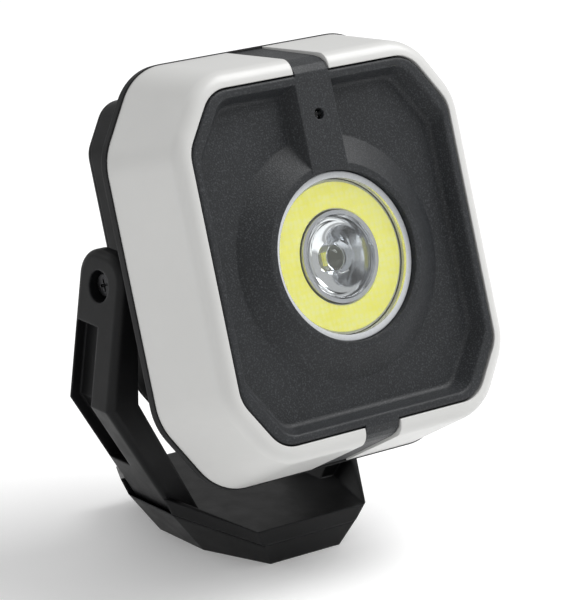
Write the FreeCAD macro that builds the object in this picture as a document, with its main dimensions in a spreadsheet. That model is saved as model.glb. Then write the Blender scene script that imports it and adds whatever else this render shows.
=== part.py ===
import FreeCAD, Part
import math
import os
import Sketcher

# Compact work light: an octagonal lamp head that tilts in a U-shaped stand with a magnetic foot.
# Part frame: +Z up, the lamp shines towards -Y, origin at the centre of the foot's bottom face.
# Head pieces are drawn in the head's own frame: x to the right, y backwards from the front rim
# plane, z up, origin at the centre of the front panel; one placement then tilts them back.

doc = FreeCAD.newDocument("WorkLight")

# driving dimensions in millimetres (and degrees for tiltAngle)
driving = {
    # stand
    "pivotHeight": 76.2,
    "armInnerX": 40.2,
    "armOuterX": 45.5,
    "armHalfDepth": 9.8,
    "armTopRise": 9.0,
    "armTopRadius": 7.5,
    "armEdgeRadius": 2.2,
    "kneeOuterX": 49.3,
    "kneeOuterZ": 44.5,
    "kneeInnerZ": 45.5,
    "armPocketDepth": 3.4,
    "armPocketFront": 1.2,
    "armPocketRear": 8.3,
    "armPocketTopDrop": 10.5,
    "armPocketBottomZ": 24.0,
    "armPocketSill": 1.6,
    "armPocketKneeRise": 0.6,
    "armFootInset": 1.2,
    "floorTopZ": 11.2,
    "partingZ": 6.5,
    "baseHalfDepth": 31.8,
    "baseFrontHalfWidth": 18.3,
    "partingHalfWidth": 15.2,
    "partingSetback": 0.7,
    "partingGap": 0.05,
    "foldSliver": 0.15,
    "foldHalfWidth": 25.0,
    "floorHalfWidth": 20.5,
    "undersideHalfWidth": 19.0,
    "wingTopX": 32.4,
    "wingTopZ": 17.4,
    "wingTopWidth": 2.2,
    "flankX": 29.9,
    "flankZ": 12.6,
    "footHalfWidth": 19.5,
    "footFrontHalfWidth": 10.8,
    "footSetback": 2.8,
    "magnetRadius": 9.5,
    "magnetThickness": 3.6,
    "magnetOffset": 13.0,
    "magnetDrop": 0.2,
    "magnetClearance": 0.1,
    "footScrewX": 14.6,
    "footScrewY": 25.4,
    "footScrewRadius": 1.25,
    "footScrewHeadRadius": 2.4,
    "footScrewHeadHeight": 1.6,
    "footScrewRecess": 0.6,
    "footScrewBite": 3.6,
    "pilotClearance": 0.3,
    "shankClearance": 0.15,
    "headClearance": 0.2,
    # pivots
    "pivotShoulderRadius": 2.1,
    "pivotThreadRadius": 1.5,
    "pivotHeadRadius": 2.9,
    "pivotHeadHeight": 1.7,
    "pivotBoreDepth": 3.6,
    "pivotBoreRadius": 4.25,
    "pivotRunClearance": 0.05,
    "frictionRadius": 6.4,
    "frictionThickness": 0.5,
    "frictionClearance": 0.03,
    "washerBoreClearance": 0.1,
    "washerGap": 0.05,
    "pivotBossRadius": 7.4,
    "insertRadius": 2.6,
    "insertLength": 6.0,
    # head
    "tiltAngle": 19.0,
    "pivotDepth": 47.7,
    "pivotAbovePanel": 2.7,
    "panelHalfWidth": 41.66,
    "panelHalfHeight": 45.55,
    "panelCutX": 9.67,
    "panelCutZ": 14.05,
    "panelRimWidth": 2.2,
    "panelWallSlope": 2.0,
    "panelDepth": 4.6,
    "panelThickness": 2.6,
    "coverFrontHalfWidth": 45.7,
    "coverFrontHalfHeight": 49.8,
    "coverFrontCutX": 11.0,
    "coverFrontCutZ": 16.5,
    "coverRearHalfWidth": 49.7,
    "coverRearHalfHeight": 55.4,
    "coverRearCutX": 14.0,
    "coverRearCutZ": 21.0,
    "coverDepth": 26.5,
    "coverWall": 2.2,
    "coverCornerRadius": 16.0,
    "panelCornerRadius": 9.0,
    "coverRollRadius": 4.0,
    "coverGap": 0.4,
    "bandGroove": 0.45,
    "bandStep": 0.4,
    "recessCornerRadius": 6.5,
    "recessFloorRadius": 1.6,
    "rimEdgeRadius": 0.7,
    "bandHalfWidth": 5.4,
    "housingWall": 2.0,
    "rimOverhang": 0.3,
    "rimThickness": 2.2,
    "shellGap": 0.1,
    "neckHalfWidth": 45.5,
    "neckHalfHeight": 51.0,
    "neckCutX": 12.5,
    "neckCutZ": 18.75,
    "boxHalfWidth": 34.0,
    "boxHalfHeight": 43.75,
    "boxCentreZ": 5.75,
    "boxCutX": 8.0,
    "boxCutZ": 12.0,
    "boxCornerRadius": 8.0,
    "rearEdgeRadius": 1.8,
    "boxStartDepth": 38.0,
    "boxEndDepth": 56.4,
    "boxWall": 2.0,
    "boxLedge": 0.5,
    "rearCoverThickness": 2.2,
    "ribHalfWidth": 5.8,
    "ribFlare": 2.4,
    "ribStep": 0.2,
    "ribBottomZ": 20.0,
    "indicatorZ": 35.0,
    "indicatorRadius": 1.5,
    "indicatorRecess": 0.9,
    "indicatorCrown": 0.3,
    "indicatorFlange": 1.0,
    # light engine
    "lensOffsetZ": -1.92,
    "lensRadius": 22.0,
    "lensThickness": 2.0,
    "lensRecess": 1.9,
    "lensClearance": 0.1,
    "ledgeWidth": 1.8,
    "sealThickness": 1.0,
    "collarWidth": 2.0,
    "collarSlopeWidth": 8.0,
    "collarStep": 0.3,
    "cobMargin": 0.7,
    "cobBoreGap": 0.6,
    "cobThickness": 0.5,
    "ledBoardClearance": 0.2,
    "ledBoardThickness": 1.5,
    "ledBoardGap": 0.3,
    "opticRadius": 12.0,
    "opticThroatRadius": 3.4,
    "opticWaistRadius": 9.12,
    "opticWaistDepth": 4.4,
    "opticDepth": 8.0,
    "opticWall": 1.0,
    "opticClearance": 0.3,
    "spotBoardGap": 0.6,
    "spotLedHalf": 1.75,
    "spotLedHeight": 0.9,
    "spotBoardRadius": 8.0,
    "spotBoardThickness": 1.2,
    "sinkRadius": 27.0,
    "sinkPlate": 2.5,
    "sinkWall": 2.0,
    "sinkDepth": 15.5,
    "finThickness": 2.0,
    "finPitch": 6.0,
    # power pack
    "batteryHalfWidth": 24.5,
    "batteryHalfHeight": 34.0,
    "batteryThickness": 11.0,
    "batteryFrontDepth": 30.5,
    "batteryEdgeRadius": 2.0,
    "batteryClearance": 0.3,
    "cradleWall": 1.4,
    "cradleSetback": 1.0,
    "cradleClearance": 0.05,
    "earOffset": 22.0,
    "earHalfHeight": 5.0,
    "boardHalfWidth": 22.8,
    "boardHalfHeight": 39.5,
    "boardThickness": 1.6,
    "boardFrontDepth": 47.4,
    "boardScrewX": 19.5,
    "boardScrewZ": 34.0,
    "boardScrewRadius": 1.0,
    "boardScrewLength": 4.0,
    "boardScrewHeadRadius": 2.0,
    "boardScrewHeadHeight": 1.2,
    "boardHoleRadius": 1.2,
    "boardPostRadius": 2.4,
    "boardPilotDepth": 3.5,
    "buttonZ": 22.0,
    "buttonRadius": 6.8,
    "buttonProud": 1.0,
    "buttonTravel": 0.8,
    "buttonClearance": 0.1,
    "buttonFlange": 1.0,
    "buttonFlangeWidth": 1.2,
    "buttonEdgeRadius": 0.6,
    "switchHalf": 3.0,
    "switchHeight": 3.4,
    "switchStemRadius": 1.65,
    "switchPlay": 0.05,
    "portZ": -26.0,
    "portHalfWidth": 4.5,
    "portHalfHeight": 1.65,
    "portWall": 0.35,
    "portDepth": 7.2,
    "portBackWall": 0.8,
    "portClearance": 0.15,
    "tongueHalfWidth": 3.24,
    "tongueHalfHeight": 0.35,
    "tongueSetback": 1.2,
    "flapHalfWidth": 8.5,
    "flapHalfHeight": 5.0,
    "flapThickness": 1.4,
    "flapClearance": 0.15,
    "flapProud": 0.4,
    "flapLipHalfWidth": 2.5,
    "flapLipHeight": 1.0,
    "flapLipInset": 0.4,
    "flapLipProud": 0.6,
    "flapSeatGap": 0.1,
    "coverScrewX": 26.5,
    "coverScrewZ": 34.0,
    "coverScrewRecess": 1.2,
    "coverScrewLength": 6.0,
    "coverScrewSink": 0.1,
    "coverPostLength": 8.0,
    "pilotExtra": 1.0,
    "caseScrewX": 40.4,
    "caseScrewZ": 27.0,
    "caseScrewRadius": 1.4,
    "caseScrewHeadRadius": 2.6,
    "caseScrewHeadHeight": 1.8,
    "caseScrewRecessClearance": 0.3,
    "casePostRadius": 3.3,
    "caseScrewBite": 9.0,
}

sheet = doc.addObject("Spreadsheet::Sheet", "Sizes")
for row, (alias, number) in enumerate(driving.items(), start=1):
    sheet.set("A%d" % row, alias)
    sheet.set("B%d" % row, str(number))
    sheet.setAlias("B%d" % row, alias)
doc.recompute()


class Dim:
    """A size: its number, and the sheet expression that gives it."""

    def __init__(self, number, text):
        self.number = number
        self.text = text

    def combine(self, other, sign, number):
        return Dim(number, "(%s %s %s)" % (self.text, sign, other.text))

    def __add__(self, other):
        other = dim(other)
        return self.combine(other, "+", self.number + other.number)

    def __sub__(self, other):
        other = dim(other)
        return self.combine(other, "-", self.number - other.number)

    def __mul__(self, other):
        other = dim(other)
        return self.combine(other, "*", self.number * other.number)

    def __truediv__(self, other):
        other = dim(other)
        return self.combine(other, "/", self.number / other.number)

    def __radd__(self, other):
        return dim(other) + self

    def __rsub__(self, other):
        return dim(other) - self

    def __rmul__(self, other):
        return dim(other) * self

    def __neg__(self):
        return Dim(-self.number, "(0 - %s)" % self.text)


def dim(value):
    return value if isinstance(value, Dim) else Dim(float(value), "%.6f" % value)


class Sizes:
    """Every driving dimension as a Dim, read by its alias."""

    def __init__(self, table):
        for alias, number in table.items():
            setattr(self, alias, Dim(float(number), "Sizes." + alias))


S = Sizes(driving)

# planes and profiles that several pieces share
baseFrontY = -S.baseHalfDepth
partingFrontY = baseFrontY + S.partingSetback
footFrontY = baseFrontY + S.footSetback
armSlope = (S.kneeOuterX - S.armOuterX) / (S.pivotHeight - S.kneeOuterZ)
armTopZ = S.pivotHeight + S.armTopRise
armTopX = S.armOuterX - armSlope * S.armTopRise
armFootX = S.flankX - S.armFootInset
housingFrontY = S.coverWall + S.shellGap
shellFrontY = S.coverDepth + S.shellGap
neckY = shellFrontY + S.rimThickness
panelFloorY = S.panelDepth
panelBackY = S.panelDepth + S.panelThickness
lensBackY = S.lensRecess + S.lensThickness
ledgeY = lensBackY + S.sealThickness
ledgeRadius = S.lensRadius - S.ledgeWidth
collarRadius = S.lensRadius + S.collarWidth
collarFoot = collarRadius + S.collarSlopeWidth
ledBoardRadius = ledgeRadius - S.ledBoardClearance
cobOuterRadius = ledBoardRadius - S.cobMargin
cobInnerRadius = S.opticRadius + S.cobBoreGap
ledBoardY = ledgeY + S.ledBoardGap
cobFrontY = ledBoardY - S.cobThickness
opticFrontY = lensBackY + S.shellGap
opticBackY = opticFrontY + S.opticDepth
spotBoardY = opticBackY + S.spotBoardGap
sinkFloorY = spotBoardY + S.spotBoardThickness
rearCoverY = S.boxEndDepth
rearFaceY = rearCoverY + S.rearCoverThickness + S.shellGap
boardBackY = S.boardFrontDepth + S.boardThickness
buttonInnerY = rearCoverY - S.buttonClearance - S.buttonFlange
bossFaceX = S.armInnerX - S.frictionThickness - S.washerGap
insertFaceX = bossFaceX + S.washerGap
past = dim(1.0)  # how far a cut runs past the face it opens
weld = dim(0.1)  # how deep a raised feature is sunk into what it stands on
touching = 0.01  # closeness at which edges are picked

angle = math.radians(S.tiltAngle.number)
tiltBack = FreeCAD.Rotation(FreeCAD.Vector(1, 0, 0), -S.tiltAngle.number)
panelToPivot = FreeCAD.Vector(0, S.pivotDepth.number, S.pivotAbovePanel.number)
pivotPoint = FreeCAD.Vector(0, 0, S.pivotHeight.number)
headPlace = FreeCAD.Placement(pivotPoint - tiltBack.multVec(panelToPivot), tiltBack)
standPlace = FreeCAD.Placement()

pieces = []


def newBody(label, place):
    body = doc.addObject("PartDesign::Body", label)
    body.Label = label
    body.Placement = place
    pieces.append(body)
    return body


def bodyFrom(label, shape):
    """Head body that starts from a shape made with Part's own functions."""
    blank = doc.addObject("Part::Feature", label + "_blank")
    blank.Shape = shape
    body = newBody(label, headPlace)
    body.BaseFeature = blank
    return body


def originPlane(body, role):
    for feature in body.Origin.OriginFeatures:
        if feature.Role == role:
            return feature
    raise ValueError(role)


def newSketch(body, role, offset):
    sketch = body.newObject("Sketcher::SketchObject", "Sketch")
    sketch.AttachmentSupport = [(originPlane(body, role), "")]
    sketch.MapMode = "FlatFace"
    offset = dim(offset)
    sketch.AttachmentOffset = FreeCAD.Placement(
        FreeCAD.Vector(0, 0, offset.number), FreeCAD.Rotation())
    sketch.setExpression("AttachmentOffset.Base.z", offset.text)
    return sketch


def tie(sketch, kind, geometry, point, value):
    value = dim(value)
    index = sketch.addConstraint(
        Sketcher.Constraint(kind, -1, 1, geometry, point, value.number))
    sketch.setExpression("Constraints[%d]" % index, value.text)


def polygon(sketch, points):
    """Closed outline; every corner is tied to the sheet along both sketch axes."""
    points = [(dim(u), dim(v)) for u, v in points]
    vectors = [FreeCAD.Vector(u.number, v.number, 0) for u, v in points]
    first = sketch.GeometryCount
    count = len(points)
    for i in range(count):
        sketch.addGeometry(Part.LineSegment(vectors[i], vectors[(i + 1) % count]), False)
    for i in range(count):
        following = first + (i + 1) % count
        sketch.addConstraint(Sketcher.Constraint("Coincident", first + i, 2, following, 1))
    for i, (u, v) in enumerate(points):
        tie(sketch, "DistanceX", first + i, 1, u)
        tie(sketch, "DistanceY", first + i, 1, v)


def rectangle(sketch, u0, v0, u1, v1):
    polygon(sketch, [(u0, v0), (u1, v0), (u1, v1), (u0, v1)])


def circle(sketch, u, v, radius):
    u, v, radius = dim(u), dim(v), dim(radius)
    index = sketch.addGeometry(
        Part.Circle(FreeCAD.Vector(u.number, v.number, 0), FreeCAD.Vector(0, 0, 1), radius.number), False)
    tie(sketch, "DistanceX", index, 3, u)
    tie(sketch, "DistanceY", index, 3, v)
    size = sketch.addConstraint(Sketcher.Constraint("Radius", index, radius.number))
    sketch.setExpression("Constraints[%d]" % size, radius.text)


def mirrored4(u, v, centreZ=0):
    centreZ = dim(centreZ)
    return [(u, centreZ + v), (-u, centreZ + v), (-u, centreZ - v), (u, centreZ - v)]


def octagonPoints(halfWidth, halfHeight, cutX, cutZ, centreZ=0):
    a, b = dim(halfWidth), dim(halfHeight)
    corners = [
        (a, -(b - cutZ)), (a, b - cutZ), (a - cutX, b), (-(a - cutX), b),
        (-a, b - cutZ), (-a, -(b - cutZ)), (-(a - cutX), -b), (a - cutX, -b)]
    return [(u, v + dim(centreZ)) for u, v in corners]


def extrude(body, kind, sketch, length, reverse, both):
    feature = body.newObject("PartDesign::" + kind, kind)
    feature.Profile = sketch
    length = dim(length)
    feature.Length = length.number
    feature.setExpression("Length", length.text)
    feature.Midplane = both
    feature.Reversed = reverse
    return feature


# A sketch on the XY, XZ or YZ plane faces up, to the front or to the right.
def pad(body, sketch, length, towards):
    return extrude(body, "Pad", sketch, length, towards in ("down", "back", "left"), towards == "both")


def pocket(body, sketch, length, towards):
    return extrude(body, "Pocket", sketch, length, towards in ("up", "front", "right"), towards == "both")


def loft(body, start, end, subtract=False):
    kind = "PartDesign::SubtractiveLoft" if subtract else "PartDesign::AdditiveLoft"
    feature = body.newObject(kind, "Loft")
    feature.Profile = start
    feature.Sections = [end]
    feature.Ruled = True
    return feature


def mirror(body, features, role):
    """Repeats the features on the other side of one of the body's origin planes."""
    feature = body.newObject("PartDesign::Mirrored", "Mirrored")
    feature.Originals = features
    feature.MirrorPlane = (originPlane(body, role), [""])
    body.Tip = feature
    return feature


def revolve(body, sketch, axis, groove=False):
    kind = "PartDesign::Groove" if groove else "PartDesign::Revolution"
    feature = body.newObject(kind, "Revolved")
    feature.Profile = sketch
    feature.ReferenceAxis = (sketch, [axis])
    feature.Angle = 360.0
    return feature


def dress(body, kind, radius, chosen):
    """Fillet or chamfer the tip's edges for which chosen(edge) is true."""
    doc.recompute()
    base = body.Tip
    names = ["Edge%d" % (i + 1) for i, edge in enumerate(base.Shape.Edges) if chosen(edge)]
    if not names:
        raise ValueError("no edges to dress on " + body.Label)
    feature = body.newObject("PartDesign::" + kind, kind)
    feature.Base = (base, names)
    radius = dim(radius)
    prop = "Radius" if kind == "Fillet" else "Size"
    setattr(feature, prop, radius.number)
    feature.setExpression(prop, radius.text)
    return feature


def edgeRuns(edge, axis, closeness=0.97):
    """Straight edge that runs nearly along the axis, which is a unit vector."""
    run = edge.Vertexes[-1].Point - edge.Vertexes[0].Point
    if run.Length < 0.5 or edge.Length > run.Length * 1.001:
        return False
    return abs(run.normalize().dot(axis)) > closeness


alongX = FreeCAD.Vector(1, 0, 0)
alongZ = FreeCAD.Vector(0, 0, 1)


# stand

def standSection(body, y):
    """Arms, sloping legs and floor of the U in one closed outline."""
    sketch = newSketch(body, "XZ_Plane", -dim(y))
    right = [
        (S.undersideHalfWidth, S.partingZ), (armFootX, S.flankZ),
        (S.kneeOuterX, S.kneeOuterZ), (armTopX, armTopZ),
        (S.armInnerX, armTopZ), (S.armInnerX, S.kneeInnerZ), (S.floorHalfWidth, S.floorTopZ)]
    polygon(sketch, right + [(-u, v) for u, v in reversed(right)])
    return sketch


def wingSection(body, offset, right):
    sketch = newSketch(body, "XZ_Plane", offset)
    polygon(sketch, right + [(-u, v) for u, v in reversed(right)])
    return sketch


def frontWedge(body, frontLow, lowZ, frontHigh, highZ):
    """Cuts a leaning front face, from frontLow at lowZ to frontHigh at highZ."""
    wedge = newSketch(body, "YZ_Plane", 0)
    polygon(wedge, [
        (baseFrontY - past, lowZ - past), (frontLow, lowZ - past),
        (frontLow, lowZ), (frontHigh, highZ), (baseFrontY - past, highZ)])
    return pocket(body, wedge, S.baseFrontHalfWidth * 3, "both")


def standBracket():
    body = newBody("stand_bracket", standPlace)
    pad(body, standSection(body, 0), S.armHalfDepth * 2, "both")
    # rounded arm tops, then the long outer edges of the arms
    topZ = armTopZ.number
    dress(body, "Fillet", S.armTopRadius,
          lambda e: edgeRuns(e, alongX) and e.CenterOfMass.z > topZ - touching)
    footX, kneeX = armFootX.number, S.kneeOuterX.number
    footZ, kneeZ = S.flankZ.number, S.kneeOuterZ.number

    onLine = 0.3
    shortest = 4.0

    def onOuterLine(point):
        if point.z > kneeZ:
            line = kneeX - armSlope.number * (point.z - kneeZ)
        else:
            line = footX + (kneeX - footX) * (point.z - footZ) / (kneeZ - footZ)
        return point.z > footZ and abs(abs(point.x) - line) < onLine

    halfDepth = S.armHalfDepth.number
    dress(body, "Fillet", S.armEdgeRadius,
          lambda e: abs(abs(e.CenterOfMass.y) - halfDepth) < touching and e.Length > shortest
          and onOuterLine(e.CenterOfMass))
    # the floor narrows towards its front edge, and its wings rise to the arms
    middle = wingSection(body, S.armHalfDepth, [
        (S.undersideHalfWidth, S.partingZ), (S.flankX, S.flankZ), (S.wingTopX, S.wingTopZ),
        (S.wingTopX - S.wingTopWidth, S.wingTopZ), (S.foldHalfWidth, S.floorTopZ)])
    sliver = S.foldSliver
    front = wingSection(body, S.baseHalfDepth, [
        (S.partingHalfWidth - sliver, S.partingZ), (S.partingHalfWidth, S.partingZ + sliver),
        (S.baseFrontHalfWidth, S.floorTopZ + sliver),
        (S.baseFrontHalfWidth - sliver * 2, S.floorTopZ + sliver),
        (S.baseFrontHalfWidth - sliver * 4, S.floorTopZ)])
    slope = loft(body, front, middle)
    lean = frontWedge(body, partingFrontY, S.partingZ, baseFrontY, S.floorTopZ)
    mirror(body, [slope, lean], "XZ_Plane")
    # long pocket in the outer face, from under the boss down the sloping leg
    deep = S.armPocketDepth
    clear = S.armPocketDepth + past
    topOuter = S.armOuterX + armSlope * S.armPocketTopDrop
    topPocketZ = S.pivotHeight - S.armPocketTopDrop
    sillZ = S.armPocketBottomZ + S.armPocketSill
    legSlope = (S.kneeOuterX - armFootX) / (S.kneeOuterZ - S.flankZ)
    lowX = S.kneeOuterX - legSlope * (S.kneeOuterZ - S.armPocketBottomZ)
    pocketSketch = newSketch(body, "XZ_Plane", -S.armPocketRear)
    for side in (1, -1):
        outline = [
            (topOuter - deep, topPocketZ), (S.kneeOuterX - deep, S.kneeOuterZ + S.armPocketKneeRise),
            (lowX - deep, sillZ), (lowX + clear, sillZ),
            (S.kneeOuterX + clear, S.kneeOuterZ), (topOuter + clear, topPocketZ)]
        polygon(pocketSketch, [(u * side, v) for u, v in outline])
    pocket(body, pocketSketch, S.armPocketRear + S.armPocketFront, "front")
    # stepped pivot holes: a recess for the screw head and a running bore
    bore = newSketch(body, "YZ_Plane", 0)
    circle(bore, 0, S.pivotHeight, S.pivotShoulderRadius + S.pivotRunClearance)
    pocket(body, bore, (S.kneeOuterX + past) * 2, "both")
    recessFloor = S.armOuterX - S.pivotBoreDepth
    outer = newSketch(body, "YZ_Plane", recessFloor)
    circle(outer, 0, S.pivotHeight, S.pivotBoreRadius)
    right = pocket(body, outer, S.pivotBoreDepth + past * 3, "right")
    mirror(body, [right], "YZ_Plane")
    # pilot holes for the foot's screws
    pilots = newSketch(body, "XY_Plane", S.partingZ)
    for u, v in footScrewPlaces:
        circle(pilots, u, v, S.footScrewRadius)
    pocket(body, pilots, S.footScrewBite + S.pilotClearance, "up")
    return body


footScrewPlaces = [(S.footScrewX, 0), (-S.footScrewX, 0), (0, S.footScrewY), (0, -S.footScrewY)]


def footCover():
    body = newBody("foot_cover", standPlace)
    gap = S.partingGap
    right = [(S.footHalfWidth, 0), (S.flankX, S.flankZ - gap), (S.undersideHalfWidth, S.partingZ - gap)]
    outline = [right[0], right[1], right[2]] + [(-u, v) for u, v in reversed(right)]
    core = newSketch(body, "XZ_Plane", 0)
    # under the arms the cover's flank stops at the leg's outer face
    polygon(core, outline)
    pad(body, core, S.armHalfDepth * 2, "both")
    middle = newSketch(body, "XZ_Plane", S.armHalfDepth)
    polygon(middle, outline)
    front = newSketch(body, "XZ_Plane", -partingFrontY)
    right = [(S.footFrontHalfWidth, 0), (S.partingHalfWidth, S.partingZ - gap),
             (S.partingHalfWidth - S.foldSliver, S.partingZ - gap)]
    polygon(front, right + [(-u, v) for u, v in reversed(right)])
    slope = loft(body, front, middle)
    lean = frontWedge(body, footFrontY, dim(0), partingFrontY, S.partingZ)
    mirror(body, [slope, lean], "XZ_Plane")
    wells = newSketch(body, "XY_Plane", S.partingZ)
    for side in (1, -1):
        circle(wells, 0, S.magnetOffset * side, S.magnetRadius + S.magnetClearance)
    pocket(body, wells, S.magnetThickness + S.magnetDrop + S.magnetClearance, "down")
    holes = newSketch(body, "XY_Plane", 0)
    heads = newSketch(body, "XY_Plane", 0)
    for u, v in footScrewPlaces:
        circle(holes, u, v, S.footScrewRadius + S.shankClearance)
        circle(heads, u, v, S.footScrewHeadRadius + S.headClearance)
    pocket(body, holes, S.partingZ + past, "up")
    pocket(body, heads, S.footScrewRecess + S.footScrewHeadHeight, "up")
    return body


def footMagnets():
    body = newBody("foot_magnets", standPlace)
    base = newSketch(body, "XY_Plane", S.partingZ - S.magnetThickness - S.magnetDrop)
    for side in (1, -1):
        circle(base, 0, S.magnetOffset * side, S.magnetRadius)
    pad(body, base, S.magnetThickness, "up")
    return body


def crossPoints(u, v, headRadius):
    """Outline of a cross-shaped driver recess."""
    u, v = dim(u), dim(v)
    slot = headRadius * 0.6
    half = headRadius * 0.13
    return [
        (u - half, v - slot), (u + half, v - slot), (u + half, v - half), (u + slot, v - half),
        (u + slot, v + half), (u + half, v + half), (u + half, v + slot), (u - half, v + slot),
        (u - half, v + half), (u - slot, v + half), (u - slot, v - half), (u - half, v - half)]


driveShare = 0.55  # depth of a driver recess, as a share of the head's height


def screwGroup(label, place, role, points, start, headRadius, headHeight, shankRadius, shankLength, towards):
    """A row of pan-head screws: heads start at the offset, shanks run on past them."""
    body = newBody(label, place)
    heads = newSketch(body, role, start)
    shanks = newSketch(body, role, start + headHeight)
    drives = newSketch(body, role, start)
    for u, v in points:
        circle(heads, u, v, headRadius)
        circle(shanks, u, v, shankRadius)
        polygon(drives, crossPoints(u, v, headRadius))
    pad(body, heads, headHeight, towards)
    pad(body, shanks, shankLength, towards)
    pocket(body, drives, headHeight * driveShare, towards)
    return body


def footScrews():
    return screwGroup("foot_screws", standPlace, "XY_Plane", footScrewPlaces, S.footScrewRecess,
                      S.footScrewHeadRadius, S.footScrewHeadHeight, S.footScrewRadius,
                      S.partingZ - S.footScrewRecess - S.footScrewHeadHeight + S.footScrewBite, "up")


# pivots, in the head's frame

def sideRings(label, start, length, outerRadius, innerRadius):
    """The same ring on both sides of the head, around the pivot axis."""
    body = newBody(label, headPlace)
    rings = newSketch(body, "YZ_Plane", start)
    circle(rings, S.pivotDepth, S.pivotAbovePanel, outerRadius)
    circle(rings, S.pivotDepth, S.pivotAbovePanel, innerRadius)
    right = pad(body, rings, length, "right")
    mirror(body, [right], "YZ_Plane")
    return body


def pivotScrews():
    """Shouldered pan-head screws, one from each side, that the head turns on."""
    body = newBody("pivot_screws", headPlace)
    seat = S.armOuterX - S.pivotBoreDepth + S.pivotRunClearance
    tip = insertFaceX - S.insertLength
    y, z = S.pivotDepth, S.pivotAbovePanel
    head = newSketch(body, "YZ_Plane", seat)
    circle(head, y, z, S.pivotHeadRadius)
    parts = [pad(body, head, S.pivotHeadHeight, "right")]
    shoulder = newSketch(body, "YZ_Plane", insertFaceX)
    circle(shoulder, y, z, S.pivotShoulderRadius)
    parts.append(pad(body, shoulder, seat - insertFaceX, "right"))
    thread = newSketch(body, "YZ_Plane", tip)
    circle(thread, y, z, S.pivotThreadRadius)
    parts.append(pad(body, thread, S.insertLength, "right"))
    drive = newSketch(body, "YZ_Plane", seat + S.pivotHeadHeight)
    polygon(drive, crossPoints(y, z, S.pivotHeadRadius))
    parts.append(pocket(body, drive, S.pivotHeadHeight * driveShare, "left"))
    mirror(body, parts, "YZ_Plane")
    return body


# head

def octagonPrism(startY, start, endY, end, cornerRadius):
    """Solid with flat sides between two octagons, each (half width, half height, cut x, cut z)."""
    rings = []
    for y, outline in ((startY, start), (endY, end)):
        corners = octagonPoints(*outline)
        ring = [FreeCAD.Vector(u.number, dim(y).number, v.number) for u, v in corners]
        rings.append(ring + ring[:1])
    faces = [Part.Face(Part.makePolygon(ring)) for ring in rings]
    near, far = rings
    for i in range(len(near) - 1):
        side = [near[i], near[i + 1], far[i + 1], far[i], near[i]]
        faces.append(Part.Face(Part.makePolygon(side)))
    solid = Part.makeSolid(Part.makeShell(faces))
    return solid.makeFillet(dim(cornerRadius).number, [e for e in solid.Edges if e.BoundBox.YLength > touching])


def shrunk(outline, wall):
    halfWidth, halfHeight, *rest = outline
    return (halfWidth - wall, halfHeight - wall, *rest)


def edgesAtY(shape, y):
    """Edges that lie in the plane at depth y behind the rim plane."""
    y = dim(y).number
    return [e for e in shape.Edges
            if abs(e.BoundBox.YMin - y) < touching and abs(e.BoundBox.YMax - y) < touching]


# outlines of the head, as (half width, half height, cut x, cut z) and a centre height if not 0
coverFront = (S.coverFrontHalfWidth, S.coverFrontHalfHeight, S.coverFrontCutX, S.coverFrontCutZ)
coverRear = (S.coverRearHalfWidth, S.coverRearHalfHeight, S.coverRearCutX, S.coverRearCutZ)
panelOutline = (S.panelHalfWidth, S.panelHalfHeight, S.panelCutX, S.panelCutZ)
neckOutline = (S.neckHalfWidth, S.neckHalfHeight, S.neckCutX, S.neckCutZ)
boxOutline = (S.boxHalfWidth, S.boxHalfHeight, S.boxCutX, S.boxCutZ, S.boxCentreZ)


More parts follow.
